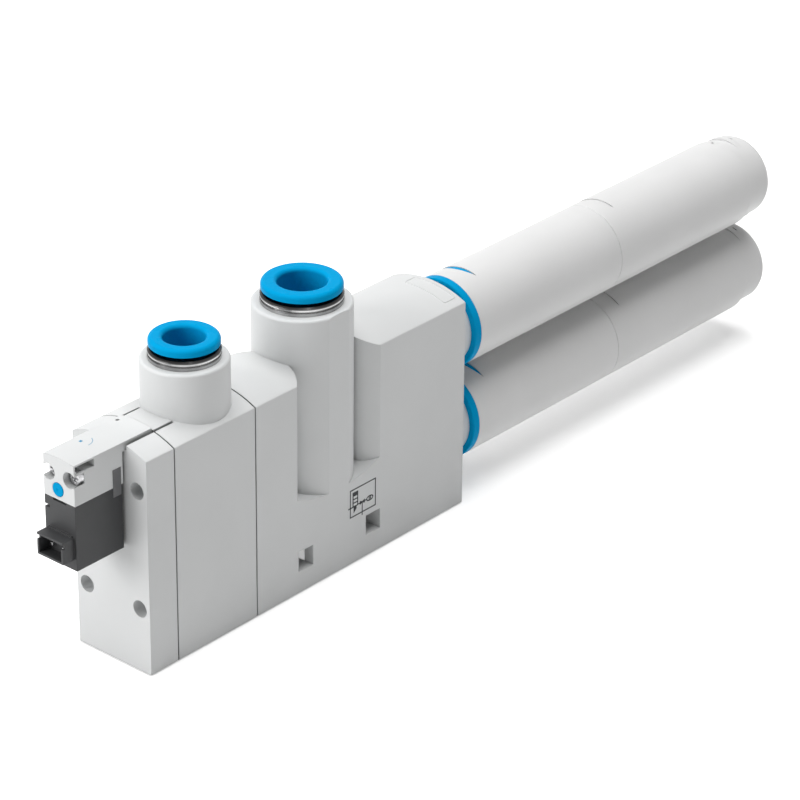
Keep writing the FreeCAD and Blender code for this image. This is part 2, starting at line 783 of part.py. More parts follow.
def make_port_fitting(port):
    """The push-in fitting of a port: sleeve, release ring, grip ring and seal."""
    x = f"{port}_x"
    sleeve_radius = f"{port}_sleeve_radius"
    tube = f"{port}_tube_radius"
    bore = f"({tube} + tube_play)"
    skirt = f"({bore} + ring_wall)"
    sleeve_top = "rim_height + sleeve_stand"
    sleeve_floor = "rim_height - sleeve_depth"
    groove_top = f"{sleeve_top} - sleeve_groove_drop"
    groove_bottom = f"{groove_top} - sleeve_groove_width"
    groove = f"{sleeve_radius} - sleeve_groove_depth"
    piece(f"{port}_sleeve", turned(f"{port}_sleeve_body", (
        (sleeve_floor, f"{skirt} + ring_play"),
        (sleeve_floor, sleeve_radius),
        (groove_bottom, sleeve_radius),
        (groove_bottom, groove),
        (groove_top, groove),
        (groove_top, sleeve_radius),
        (f"{sleeve_top} - sleeve_edge", sleeve_radius),
        (sleeve_top, f"{sleeve_radius} - sleeve_edge"),
        (sleeve_top, f"{skirt} + ring_play"),
    ), x=x, way="z"))
    flange = f"({sleeve_top} + release_travel + release_rest)"
    ring_top = f"({flange} + ring_flange)"
    outer = f"({sleeve_radius} - ring_inset)"
    ring = turned(f"{port}_release_body", (
        ("rim_height - ring_reach", bore),
        ("rim_height - ring_reach", skirt),
        (flange, skirt),
        (flange, outer),
        (ring_top, outer),
        (ring_top, bore),
    ), x=x, way="z")
    piece(f"{port}_release_ring", round_edges(ring, is_highest_circle, "ring_round"))
    grip_floor = f"{sleeve_floor} - grip_thickness"
    washer = turned(f"{port}_grip_washer", (
        (grip_floor, f"{tube} - grip_bite"),
        (grip_floor, sleeve_radius),
        (sleeve_floor, sleeve_radius),
        (sleeve_floor, f"{tube} - grip_bite"),
    ), x=x, way="z")
    half = "grip_slot_width / 2"
    reach = f"{tube} + ring_wall"
    level = (f"{grip_floor} - {CUT_PAST}", f"{sleeve_floor} + {CUT_PAST}")
    slots = [
        box(f"{port}_grip_slot_x", about(x, reach), about("0", half), level),
        box(f"{port}_grip_slot_y", about(x, half), about("0", reach), level),
    ]
    piece(f"{port}_grip_ring", cut(f"{port}_grip_cut", washer, slots))
    seal_floor = f"{grip_floor} - tube_seal_height"
    piece(f"{port}_tube_seal", turned(f"{port}_seal_body", (
        (grip_floor, f"{tube} + tube_play"),
        (grip_floor, f"{tube} + tube_seal_wall"),
        (seal_floor, f"{tube} + tube_seal_wall"),
        (seal_floor, f"{tube} + tube_seal_outer_edge"),
        (f"{seal_floor} + tube_seal_lip", f"{tube} + tube_seal_valley"),
        (seal_floor, f"{tube} + tube_seal_inner_edge"),
        (seal_floor, tube),
    ), x=x, way="z"))


def make_piston_valve():
    """The piloted piston that opens the supply to the nozzles, with its seat, poppet, seal and spring."""
    axis = "axis_height"
    back = f"({PISTON_X} + piston_head)"
    bore = "(piston_radius - piston_play)"
    land = "((piston_head - piston_ring_width) / 2)"
    groove = f"({bore} - piston_ring_depth)"
    neck_x = f"({SEAT_X} - piston_travel - neck_lead)"
    tip = f"({POPPET_X} + poppet_length + poppet_tail)"
    piece("valve_piston", turned("piston_body", (
        (PISTON_X, "0"),
        (PISTON_X, bore),
        (f"{PISTON_X} + {land}", bore),
        (f"{PISTON_X} + {land}", groove),
        (f"{back} - {land}", groove),
        (f"{back} - {land}", bore),
        (back, bore),
        (back, "stem_radius"),
        (neck_x, "stem_radius"),
        (neck_x, "stem_neck_radius"),
        (tip, "stem_neck_radius"),
        (tip, "0"),
    ), z=axis))
    piece("piston_seal", turned("piston_seal_body", (
        (f"{PISTON_X} + {land}", groove),
        (f"{PISTON_X} + {land}", "piston_radius - piston_ring_play"),
        (f"{back} - {land}", "piston_radius - piston_ring_play"),
        (f"{back} - {land}", groove),
    ), z=axis))
    poppet_end = f"({POPPET_X} + poppet_length)"
    piece("valve_poppet", turned("poppet_body", (
        (POPPET_X, "stem_neck_radius"),
        (POPPET_X, "poppet_radius"),
        (f"{poppet_end} - poppet_edge", "poppet_radius"),
        (poppet_end, "poppet_back_radius"),
        (poppet_end, "stem_neck_radius"),
    ), z=axis))
    piece("valve_seat", turned("seat_body", (
        (SEAT_X, "seat_radius"),
        (SEAT_X, "outlet_radius"),
        (POPPET_X, "outlet_radius"),
        (POPPET_X, "seat_radius"),
    ), z=axis))
    length = size("piston_bore_depth") - size("piston_gap") - size("piston_head")
    radius = size("piston_coil_radius")
    wire = size("piston_wire")
    spring = coil_spring("piston_spring_wire", radius, wire, length, PISTON_TURNS, x=back, z=axis)
    piece("piston_spring", spring)


def nozzle_groove(x):
    """The corners of a seal groove in a nozzle's outer wall."""
    floor = "nozzle_radius - nozzle_ring_depth"
    end = f"{x} + nozzle_ring_width"
    return ((x, "nozzle_radius"), (x, floor), (end, floor), (end, "nozzle_radius"))


def nozzle_seal(name, x):
    """A seal ring that fills a nozzle's groove."""
    return turned(name, nozzle_groove(x), z="axis_height")


def make_nozzles():
    """The jet nozzle, the receiver nozzle behind it and the rings that seal them."""
    x = HOUSING_X
    end = f"({x} + jet_length)"
    seat_end = f"({x} + jet_seat_length)"
    jet_groove = f"({x} + nozzle_ring_x)"
    throat = f"({x} + jet_throat_x)"
    corners = ((x, "jet_inlet_radius"), (x, "nozzle_radius")) + nozzle_groove(jet_groove) + (
        (seat_end, "nozzle_radius"),
        (seat_end, "nozzle_radius - jet_shoulder"),
        (end, "jet_nose_radius"),
        (end, "jet_exit_radius"),
        (throat, "jet_throat_radius"),
    )
    piece("jet_nozzle", turned("jet_body", corners, z="axis_height"))
    start = RECEIVER_X
    stop = RECEIVER_END
    front_groove = f"({start} + receiver_nose_length + nozzle_ring_x)"
    rear_groove = f"({stop} - nozzle_ring_x - nozzle_ring_width)"
    narrow = f"({start} + receiver_throat_x)"
    corners = (
        (start, "receiver_mouth_radius"),
        (start, "receiver_nose_radius"),
        (f"{start} + receiver_nose_length", "nozzle_radius"),
    ) + nozzle_groove(front_groove) + nozzle_groove(rear_groove) + (
        (stop, "nozzle_radius"),
        (stop, "receiver_exit_radius"),
        (f"{narrow} + receiver_throat_length", "receiver_throat_radius"),
        (narrow, "receiver_throat_radius"),
    )
    piece("receiver_nozzle", turned("receiver_body", corners, z="axis_height"))
    piece("nozzle_seals", group("nozzle_seal_set", [
        nozzle_seal("jet_seal", jet_groove),
        nozzle_seal("receiver_front_seal", front_groove),
        nozzle_seal("receiver_rear_seal", rear_groove),
    ]))


def latch_blocks(name, rear, inset, low, high):
    """Two round-fronted blocks, above and below a tube's axis, that end at a rear face."""
    front = f"{rear} - latch_width - {CUT_PAST}"
    span = (front, f"{rear} - ({inset})")
    across = about("0", f"silencer_radius + {CUT_PAST}")
    top = box(f"{name}_top", span, across, (low, high))
    floor = box(f"{name}_floor", span, across, (f"-({high})", f"-({low})"))
    middle = f"{rear} - latch_width + {LATCH_CURVE}"
    curve = cylinder(f"{name}_curve", f"{LATCH_CURVE} - ({inset})", about("0", high), x=middle, way="z")
    return common(f"{name}_blocks", fuse(f"{name}_pair", [top, floor]), curve)


def latch_slots(name, rear):
    """The cutters that open two crescent slots in a tube's wall."""
    return latch_blocks(f"{name}_slot", rear, "0", "latch_height", f"silencer_radius + {CUT_PAST}")


def latch_nubs(name, rear):
    """The two catches that fill those slots from inside."""
    radius = "latch_nub_radius"
    blocks = latch_blocks(f"{name}_nub", rear, "latch_gap", "latch_height + latch_gap", radius)
    span = (f"{rear} - latch_width - {CUT_PAST}", rear)
    return common(f"{name}_nubs", blocks, cylinder(f"{name}_nub_round", radius, span))


def on_spigot(side, feature):
    """Carry a silencer piece from the middle line to its spigot, at the angle it was pushed on."""
    turn = FreeCAD.Rotation(FreeCAD.Vector(1, 0, 0), float(size(f"{side}_turn")))
    return place(feature, "origin_x", "0", SILENCERS[side], turn)


def make_lock_ring(side):
    """The blue ring that snaps the first silencer tube onto its spigot."""
    bore = "(spigot_nose_radius + silencer_play)"
    end = f"({BASE_X} + lock_sleeve_length)"
    ring = turned(f"{side}_ring_body", (
        (LOCK_X, bore),
        (LOCK_X, "silencer_radius - silencer_edge"),
        (f"{LOCK_X} + silencer_edge", "silencer_radius"),
        (BASE_X, "silencer_radius"),
        (BASE_X, PLUG),
        (end, PLUG),
        (end, bore),
    ))
    nubs = latch_nubs(f"{side}_ring", f"{BASE_X} + lock_latch_offset")
    piece(f"{side}_lock_ring", on_spigot(side, fuse(f"{side}_lock_fuse", [ring, nubs])))


def tube_corners(x, end):
    """The outline of a silencer tube's outside, from the front bore to the rear edge."""
    outer = "silencer_radius"
    edge = "silencer_edge"
    return (
        (x, TUBE_BORE),
        (x, f"{outer} - {edge}"),
        (f"{x} + {edge}", outer),
        (f"{end} - {edge}", outer),
        (end, f"{outer} - {edge}"),
    )


def make_base_tube(side):
    """The first silencer tube: a slotted front end and a stepped rear end that plugs into the next."""
    name = f"{side}_base"
    plug_end = f"({EXTENSION_X} + joint_latch_offset + latch_end)"
    tube = turned(f"{name}_tube", tube_corners(BASE_X, EXTENSION_X) + (
        (EXTENSION_X, PLUG),
        (plug_end, PLUG),
        (plug_end, THROAT),
        (f"{EXTENSION_X} - joint_step", THROAT),
        (f"{EXTENSION_X} - joint_step", TUBE_BORE),
    ))
    slotted = cut(f"{name}_slotted", tube, [latch_slots(name, f"{BASE_X} + lock_latch_offset")])
    nubs = latch_nubs(name, f"{EXTENSION_X} + joint_latch_offset")
    piece(f"{name}_silencer", on_spigot(side, fuse(f"{name}_fuse", [slotted, nubs])))


def make_extension_tube(side):
    """The second silencer tube: a slotted front end and a plain rear end with two small notches."""
    name = f"{side}_extension"
    tube = turned(f"{name}_tube", tube_corners(EXTENSION_X, CAP_X) + ((CAP_X, TUBE_BORE),))
    slots = latch_slots(name, f"{EXTENSION_X} + joint_latch_offset")
    notches = small_marks(f"{name}_notch", (f"{CAP_X} - cap_mark_length", f"{CAP_X} + {CUT_PAST}"))
    piece(f"{name}_silencer", on_spigot(side, cut(f"{name}_slotted", tube, [slots] + notches)))


def small_marks(name, span):
    """Two shallow notches on opposite sides of the joint with the end cap."""
    low = "cap_radius - cap_mark_depth"
    past = f"silencer_radius + {CUT_PAST}"
    half = "cap_mark_width / 2"
    return [
        box(f"{name}_top", span, about("-cap_mark_shift", half), (low, past)),
        box(f"{name}_floor", span, about("cap_mark_shift", half), (f"-({past})", f"-({low})")),
    ]


def make_absorber(side, part, start, end):
    """The open foam sleeve that lines a silencer tube."""
    name = f"{side}_{part}_absorber"
    piece(name, turned(f"{name}_body", (
        (start, "absorber_radius"),
        (start, PLUG),
        (end, PLUG),
        (end, "absorber_radius"),
    ), z=SILENCERS[side]))


def make_end_cap(side):
    """The narrower cap that plugs into the last tube, with crescent ribs above and below."""
    start = f"({CAP_X} - cap_plug_length)"
    end = f"({CAP_X} + cap_length)"
    outer = "cap_radius"
    cap = turned(f"{side}_cap_body", (
        (start, THROAT),
        (start, PLUG),
        (CAP_X, PLUG),
        (CAP_X, outer),
        (f"{end} - silencer_end_round", outer),
        (f"{end} - silencer_end_step", f"{outer} - silencer_end_step"),
        (end, f"{outer} - silencer_end_round"),
        (end, "mouth_radius + mouth_flare"),
        (f"{end} - mouth_flare", "mouth_radius"),
        (f"{end} - cap_wall", "mouth_radius"),
        (f"{end} - cap_wall", THROAT),
    ))
    rib_x = f"({CAP_X} + cap_rib_offset)"
    rib_end = f"({rib_x} + cap_rib_width)"
    ribs = [
        cylinder(f"{side}_rib_{name}", "cap_rib_radius", (rib_x, rib_end), z=lift)
        for name, lift in (("top", "cap_rib_lift"), ("floor", "-cap_rib_lift"))
    ]
    room = cylinder(f"{side}_rib_room", PLUG, about(rib_x, "cap_length"))
    crescents = cut(f"{side}_crescents", fuse(f"{side}_ribs", ribs), [room])
    marks = small_marks(f"{side}_mark", (rib_end, f"{rib_end} + cap_mark_length"))
    notched = cut(f"{side}_cap_notched", cap, marks)
    piece(f"{side}_end_cap", on_spigot(side, fuse(f"{side}_cap_fuse", [notched, crescents])))


def make_silencer(side):
    """A silencer of two tubes and an end cap on its lock ring."""
    make_lock_ring(side)
    make_base_tube(side)
    make_extension_tube(side)
    make_end_cap(side)
    lined = f"{BASE_X} + lock_sleeve_length + absorber_gap"
    make_absorber(side, "base", lined, f"{EXTENSION_X} - joint_step")
    lined = f"{EXTENSION_X} + joint_latch_offset + latch_end + absorber_gap"
    make_absorber(side, "extension", lined, f"{CAP_X} - cap_plug_length")


def pilot_screw_places():
    """The y formulas of the two pilot valve screws."""
    return (("near", "-pilot_screw_y"), ("far", "pilot_screw_y"))


def side_cutters(name, x, wall, z):
    """Two cutters that reach in from the sides of the pilot valve as far as the walls."""
    past = f"pilot_width / 2 + {CUT_PAST}"
    return [
        box(f"{name}_near", x, (f"-({past})", f"-({wall})"), z),
        box(f"{name}_far", x, (wall, past), z),
    ]


def staple_legs(name, leg_floor):
    """The room that the staple's legs take in the sides of the pilot valve."""
    wall = "pilot_width / 2 + clip_proud - clip_sheet"
    return side_cutters(name, STAPLE_X, wall, (leg_floor, "clip_leg_top"))


def pilot_front_cutters():
    """The screw holes, the button's bore and the side windows of the pilot valve."""
    deep = f"({PILOT_FRONT} + pilot_head_sunk + pilot_head_height)"
    before = f"{PILOT_FRONT} - {CUT_PAST}"
    tools = []
    for name, y in pilot_screw_places():
        place_at = {"y": y, "z": "pilot_screw_height"}
        head = "pilot_head_radius + pilot_head_gap"
        shank = "pilot_shank_radius + pilot_shank_gap"
        tools.append(cylinder(f"pilot_recess_{name}", head, (before, deep), **place_at))
        tools.append(cylinder(f"pilot_hole_{name}", shank, (deep, "0"), **place_at))
    radius = "button_radius + button_play"
    span = (before, f"{PILOT_FRONT} + button_bore")
    tools.append(cylinder("button_bore", radius, span, y="button_y", z="button_height"))
    start = f"{PILOT_FRONT} + window_front"
    level = ("pilot_window_floor", "pilot_window_floor + pilot_window_height")
    wall = "pilot_width / 2 - pilot_window_depth"
    return tools + side_cutters("pilot_window", (start, f"{start} + pilot_window_length"), wall, level)


def pilot_air_cutters():
    """The armature's pocket with its valve seat, and the two air ways to the end plate."""
    x = "-coil_x"
    seat_level = "(pilot_floor + armature_pocket)"
    pocket_span = (f"pilot_floor - {CUT_PAST}", seat_level)
    pocket = cylinder("armature_pocket", "armature_pocket_radius", pocket_span, x=x, way="z")
    seat = cylinder("armature_seat", "armature_seat_radius", (ARMATURE_TOP, seat_level), x=x, way="z")
    seat_span = (f"{ARMATURE_TOP} - pilot_air_radius", "pilot_feed_height")
    feed = (f"{x} - pilot_air_radius", "0")
    air = (f"{x} + (armature_pocket_radius + armature_seat_radius) / 2", "0")
    return [
        cut("armature_room", pocket, [seat]),
        cylinder("seat_hole", "pilot_seat_hole", seat_span, x=x, way="z"),
        cylinder("feed_hole", "pilot_air_radius", feed, z="pilot_feed_height"),
        cylinder("air_hole", "pilot_air_radius", air, z="pilot_air_height"),
    ]


def make_pilot_body():
    """Light upper body of the pilot valve, with a flat tail that lies in the end plate's slot."""
    length = (PILOT_FRONT, PILOT_BACK)
    tail_length = (PILOT_BACK, "plate_length")
    width = "pilot_width"
    head = crowned_bar("pilot_head", length, width, ("pilot_floor", "pilot_top"), "pilot_rise")
    tail = crowned_bar("pilot_tail", tail_length, width, ("tail_floor", "pilot_top"), "pilot_rise")
    solid = fuse("pilot_solid", [head, tail])
    drilled = cut("pilot_drilled", solid, pilot_front_cutters() + pilot_air_cutters())
    bar = ("clip_leg_top - clip_bar", "clip_leg_top")
    tunnel = box("staple_tunnel", STAPLE_X, about("0", f"pilot_width / 2 + {CUT_PAST}"), bar)
    legs = staple_legs("pilot_leg", f"pilot_floor - {CUT_PAST}")
    hole_span = ("pilot_top - tail_hole_depth", f"pilot_top + {CUT_PAST}")
    hole = cylinder("tail_hole", "tail_hole_radius", hole_span, x="tail_hole_x", y="tail_hole_y", way="z")
    piece("pilot_body", cut("pilot_body_cut", drilled, [tunnel, hole] + legs))


def make_pilot_screws():
    """The two sunk screws that hold the pilot valve."""
    start = f"({PILOT_FRONT} + pilot_head_sunk)"
    neck = f"({start} + pilot_head_height)"
    bite = (neck, "pilot_screw_bite")
    drive = (f"{start} - {CUT_PAST}", f"{start} + pilot_drive_depth")
    z = "pilot_screw_height"
    screws = []
    for name, y in pilot_screw_places():
        head = cylinder(f"pilot_screw_head_{name}", "pilot_head_radius", (start, neck), y=y, z=z)
        shank = cylinder(f"pilot_screw_shank_{name}", "pilot_shank_radius", bite, y=y, z=z)
        slots = cross_recess(f"pilot_{name}", drive, y, z, "pilot_drive_reach", "pilot_drive_width")
        screws.append(cut(f"pilot_screw_{name}", fuse(f"pilot_blank_{name}", [head, shank]), slots))
    piece("pilot_screws", group("pilot_screw_set", screws))


def make_pilot_fixings():
    """The staple that joins the pilot valve to its coil, and its flat seal."""
    outer = "(pilot_width / 2 + clip_proud)"
    inner = f"({outer} - clip_sheet)"
    leg = ("clip_leg_floor", "clip_leg_top")
    parts = [
        box("staple_near", STAPLE_X, (f"-{outer}", f"-{inner}"), leg),
        box("staple_far", STAPLE_X, (inner, outer), leg),
        box("staple_bar", STAPLE_X, about("0", outer), ("clip_leg_top - clip_bar", "clip_leg_top")),
    ]
    piece("pilot_staple", fuse("pilot_staple_fuse", parts))
    floor = "pilot_air_height - pilot_seal_margin + pilot_air_radius"
    level = (floor, "pilot_feed_height + pilot_seal_margin")
    pad = box("pilot_seal_pad", (PILOT_BACK, "0"), about("0", "pilot_seal_width / 2"), level)
    past = (f"{PILOT_BACK} - {CUT_PAST}", CUT_PAST)
    holes = [
        cylinder("seal_air_hole", "pilot_air_radius", past, z="pilot_air_height"),
        cylinder("seal_feed_hole", "pilot_air_radius", past, z="pilot_feed_height"),
    ]
    piece("pilot_seal", cut("pilot_seal_cut", pad, holes))


def make_override_button():
    """The blue hand override with its stem and its spring."""
    front = f"({PILOT_FRONT} - button_proud)"
    head = f"({front} + button_head)"
    tip = f"({PILOT_FRONT} + button_bore - button_travel)"
    piece("override_button", turned("button_body", (
        (f"{front} + button_dimple_depth", "0"),
        (front, "button_dimple_radius"),
        (front, "button_radius - button_proud"),
        (f"{front} + button_proud", "button_radius"),
        (head, "button_radius"),
        (head, "button_stem_radius"),
        (tip, "button_stem_radius"),
        (tip, "0"),
    ), y="button_y", z="button_height"))
    length = size("button_bore") + size("button_proud") - size("button_head")
    radius = size("button_coil_radius")
    spring = coil_spring("button_spring_wire", radius, size("button_wire"), length, BUTTON_TURNS,
                         x=head, y="button_y", z="button_height")
    piece("override_spring", spring)


def shroud_cutters():
    """The socket of the connector and the latch notch across its sides."""
    mouth = f"{PILOT_FRONT} - shroud_length"
    before = f"{mouth} - {CUT_PAST}"
    top = "shroud_floor + shroud_height - shroud_wall"
    inside = about("0", "shroud_width / 2 - shroud_wall")
    across = about("0", f"shroud_width / 2 + {CUT_PAST}")
    level = ("shroud_floor + shroud_wall", top)
    notch = (f"{top} - shroud_notch_height", top)
    return [
        box("socket", (before, f"{mouth} + shroud_depth"), inside, level),
        box("shroud_latch", (before, f"{mouth} + shroud_notch"), across, notch),
    ]


def make_coil_housing():
    """Dark moulding round the solenoid, with the connector shroud on its front."""
    across = about("0", "pilot_width / 2 - coil_inset")
    block = box("coil_block", (PILOT_FRONT, "-coil_back"), across, ("coil_floor", "pilot_floor"))
    shroud_x = (f"{PILOT_FRONT} - shroud_length", f"{PILOT_FRONT} + coil_inset")
    shroud_z = ("shroud_floor", "shroud_floor + shroud_height")
    shroud = box("shroud", shroud_x, about("0", "shroud_width / 2"), shroud_z)
    shroud_top = "(shroud_floor + shroud_height)"
    ledge_y = about("0", "shroud_width / 2 - shroud_ledge_inset")
    ledge_x = (f"{PILOT_FRONT} - shroud_ledge", f"{PILOT_FRONT} + coil_inset")
    ledge = box("shroud_ledge_bar", ledge_x, ledge_y, ("shroud_floor", f"{shroud_top} + shroud_ledge"))
    solid = fuse("coil_solid", [block, shroud, ledge])
    neck = (COIL_TOP, f"pilot_floor + {CUT_PAST}")
    rooms = [
        cylinder("bobbin_room", "bobbin_radius", (CORE_FLOOR, COIL_TOP), x="-coil_x", way="z"),
        cylinder("armature_neck", "bobbin_bore + armature_play", neck, x="-coil_x", way="z"),
    ]
    drop = "(pilot_floor - corner_notch_drop)"
    corner_x = (f"{PILOT_FRONT} - {CUT_PAST}", f"{PILOT_FRONT} + corner_notch")
    corner_z = (f"{drop} - corner_notch_height", drop)
    corner_y = ("pilot_width / 2 - corner_notch", f"pilot_width / 2 + {CUT_PAST}")
    corner = box("corner_notch", corner_x, corner_y, corner_z)
    slot_x = (f"{PILOT_FRONT} - {CUT_PAST}", f"{PILOT_FRONT} + coil_slot_depth")
    slot_z = ("pilot_floor - coil_slot_height", f"pilot_floor + {CUT_PAST}")
    slot = box("coil_front_slot", slot_x, about("0", "coil_slot_width / 2"), slot_z)
    pins = [pin_box(f"pin_hole_{i}", y) for i, y in enumerate(PIN_PLACES)]
    legs = staple_legs("coil_leg", "clip_leg_floor")
    tools = shroud_cutters() + rooms + [corner, slot] + pins + legs
    piece("coil_housing", cut("coil_housing_cut", solid, tools))


def pin_box(name, y):
    """The square space of one connector pin."""
    root = f"({PILOT_FRONT} - shroud_length + shroud_depth)"
    half = "pin_size / 2"
    span = (f"{root} - pin_length", f"{root} + pin_bite")
    return box(name, span, about(y, half), about("pin_height", half))


def make_solenoid():
    """The parts inside the coil: bobbin, winding, core, armature, spring and connector pins."""
    x = "-coil_x"
    lower = f"({CORE_FLOOR} + bobbin_flange)"
    upper = f"({COIL_TOP} - bobbin_flange)"
    inner = "(bobbin_bore + bobbin_wall)"
    piece("coil_bobbin", turned("bobbin_body", (
        (CORE_FLOOR, "bobbin_bore"),
        (CORE_FLOOR, "bobbin_radius"),
        (lower, "bobbin_radius"),
        (lower, inner),
        (upper, inner),
        (upper, "bobbin_radius"),
        (COIL_TOP, "bobbin_radius"),
        (COIL_TOP, "bobbin_bore"),
    ), x=x, way="z"))
    piece("coil_winding", turned("winding_body", (
        (lower, inner),
        (lower, "bobbin_radius - winding_gap"),
        (upper, "bobbin_radius - winding_gap"),
        (upper, inner),
    ), x=x, way="z"))
    piece("fixed_core", turned("core_body", (
        (CORE_FLOOR, "0"),
        (CORE_FLOOR, "core_radius"),
        (CORE_TOP, "core_radius"),
        (CORE_TOP, "armature_spring_bore"),
        (f"{CORE_TOP} - core_spring_depth", "armature_spring_bore"),
        (f"{CORE_TOP} - core_spring_depth", "0"),
    ), x=x, way="z"))
    radius = "(bobbin_bore - armature_play)"
    piece("armature", turned("armature_body", (
        (f"{ARMATURE_FLOOR} + armature_spring_depth", "0"),
        (f"{ARMATURE_FLOOR} + armature_spring_depth", "armature_spring_bore"),
        (ARMATURE_FLOOR, "armature_spring_bore"),
        (ARMATURE_FLOOR, radius),
        (ARMATURE_TOP, radius),
        (ARMATURE_TOP, "0"),
    ), x=x, way="z"))
    gap = size("armature_travel") + size("armature_rest")
    length = size("core_spring_depth") + gap + size("armature_spring_depth")
    radius = size("armature_coil_radius")
    floor = f"{CORE_TOP} - core_spring_depth"
    spring = coil_spring("armature_spring_wire", radius, size("armature_wire"), length, ARMATURE_TURNS,
                         x=x, z=floor, way="z")
    piece("armature_spring", spring)
    piece("connector_pins", group("pin_set", [pin_box(f"pin_{i}", y) for i, y in enumerate(PIN_PLACES)]))


def check_model():
    """Stop if any object failed or any sub-part is not a sound solid."""
    doc.recompute()
    failed = [item.Name for item in doc.Objects if "Invalid" in item.State or "Error" in item.State]
    if failed:
        raise RuntimeError("failed objects: " + ", ".join(failed))
    for feature in pieces:
        shape = feature.Shape
        if shape.isNull() or not shape.isValid() or not shape.Solids:
            raise RuntimeError("unsound sub-part: " + feature.Label)


def write_parts():
    """Write each sub-part to its own file."""
    os.makedirs("parts", exist_ok=True)
    for feature in pieces:
        feature.Shape.exportStep(f"parts/{feature.Label}.step")


fill_sheet()
make_end_plate()
make_gasket("plate_gasket", "plate_length", "piston_radius", True)
make_valve_block()
make_gasket("block_gasket", BLOCK_END, "outlet_radius", False)
make_housing()
make_tie_screws()
for port in PORTS:
    make_port_fitting(port)
make_piston_valve()
make_nozzles()
for side in SILENCERS:
    make_silencer(side)
make_pilot_body()
make_pilot_screws()
make_pilot_fixings()
make_override_button()
make_coil_housing()
make_solenoid()
check_model()
write_parts()
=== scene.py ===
import math

import bmesh
import bpy
from mathutils import Matrix, Vector
from mathutils.bvhtree import BVHTree
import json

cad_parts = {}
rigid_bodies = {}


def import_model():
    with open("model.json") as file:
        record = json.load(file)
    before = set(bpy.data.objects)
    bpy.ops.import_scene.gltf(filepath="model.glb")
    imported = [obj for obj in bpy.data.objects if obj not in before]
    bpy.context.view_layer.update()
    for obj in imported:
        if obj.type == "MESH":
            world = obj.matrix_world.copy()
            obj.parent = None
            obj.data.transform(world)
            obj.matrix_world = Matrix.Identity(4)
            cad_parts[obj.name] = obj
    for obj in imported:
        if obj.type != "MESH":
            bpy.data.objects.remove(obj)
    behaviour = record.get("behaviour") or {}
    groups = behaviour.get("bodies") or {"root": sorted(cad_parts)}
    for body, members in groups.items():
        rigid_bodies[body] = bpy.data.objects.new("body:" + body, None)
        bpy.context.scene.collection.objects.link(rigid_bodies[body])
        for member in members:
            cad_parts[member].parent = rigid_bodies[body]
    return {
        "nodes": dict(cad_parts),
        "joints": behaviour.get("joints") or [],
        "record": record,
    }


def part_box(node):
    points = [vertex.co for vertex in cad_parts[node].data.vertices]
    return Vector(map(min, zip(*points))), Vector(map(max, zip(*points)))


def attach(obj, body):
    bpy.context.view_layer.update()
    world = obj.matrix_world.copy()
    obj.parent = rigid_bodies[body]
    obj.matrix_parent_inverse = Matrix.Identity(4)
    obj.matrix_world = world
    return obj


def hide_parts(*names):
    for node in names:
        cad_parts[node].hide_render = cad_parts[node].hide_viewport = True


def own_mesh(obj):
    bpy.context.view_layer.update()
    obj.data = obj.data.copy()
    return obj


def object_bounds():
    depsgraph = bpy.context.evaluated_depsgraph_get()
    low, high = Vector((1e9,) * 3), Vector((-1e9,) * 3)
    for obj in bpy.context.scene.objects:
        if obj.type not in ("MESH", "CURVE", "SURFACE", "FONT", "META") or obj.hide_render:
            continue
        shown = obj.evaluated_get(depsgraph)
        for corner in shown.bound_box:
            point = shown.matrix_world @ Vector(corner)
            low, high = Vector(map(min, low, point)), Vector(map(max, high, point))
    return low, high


# Looks of a vacuum ejector: matt grey housing, bright blue rings, off-white silencers, a dark coil.
# Lengths are in metres in the frame of the CAD part, and those times MM are given in millimetres.
# Points of the printed marks are in millimetres behind the end plate's front face, with height
# above the floor on the near side and the distance from the middle plane on top.

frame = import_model()
cad_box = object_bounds()
nodes = frame["nodes"]

MM = 0.001
WHITE = (1, 1, 1, 1)

# Camera, as found from the photograph's edges, for an image of 800 by 800 pixels
HALF_IMAGE = 400.0
CAMERA_TURN = -49.38
CAMERA_RISE = 27.14
CAMERA_ROLL = 0.68
CAMERA_DISTANCE = 909.3 * MM
CAMERA_TARGET = Vector((-5.11, 0.0, 33.41)) * MM
CAMERA_NEAR = 10 * MM
FOCAL_PIXELS = 3594.3
CENTRE_PIXEL = (412.9, 379.8)
SENSOR = 36.0

# Lights
WORLD_LEVEL = 0.03
FRONT_POWER = 14.5
FRONT_SIZE = 0.9
FRONT_PLACE = (-1.42, 0.52, 0.66)
TOP_POWER = 20.5
TOP_SIZE = 1.2
TOP_PLACE = (0.06, 0.02, 1.4)
LAMP_AIM = (0, 0, 0.03)

# Floor, a little below the part, with the light that it shows to the camera and to mirrors
FLOOR_SIZE = 3.0
FLOOR_DROP = 0.2 * MM
FLOOR_GLOW = 0.42
PAPER_DARK = 0.945
PAPER_PALE = 0.955

# Softened edges
EDGE_ROUND = 0.25 * MM
EDGE_SAMPLES = 4

# Painted shade in recesses, seams and holes: the reach, the colour left in the narrowest ones,
# and the shares of open sky between which it fades
RECESS_REACH = 2.5 * MM
RECESS_SAMPLES = 4
RECESS_LEVEL = 0.42
RECESS_FADE = (0.1, 0.5)

# Texture cells a metre
CLOUD_CELLS = 38.0
SHEEN_CELLS = 220.0
GRAIN_CELLS = 2600.0
INK_CELLS = 5000.0
TURNED_CELLS = 900.0
COLLAR_CELLS = 700.0
STREAK_CELLS = 160.0
RUBBER_CELLS = 1500.0
FOAM_CELLS = 900.0
WIRE_CELLS = 1400.0
PAPER_CELLS = 60.0

# Height of a texture's relief
FINE_RELIEF = 0.02 * MM
RUBBER_RELIEF = 0.03 * MM
WIRE_RELIEF = 0.1 * MM
FOAM_RELIEF = 0.3 * MM

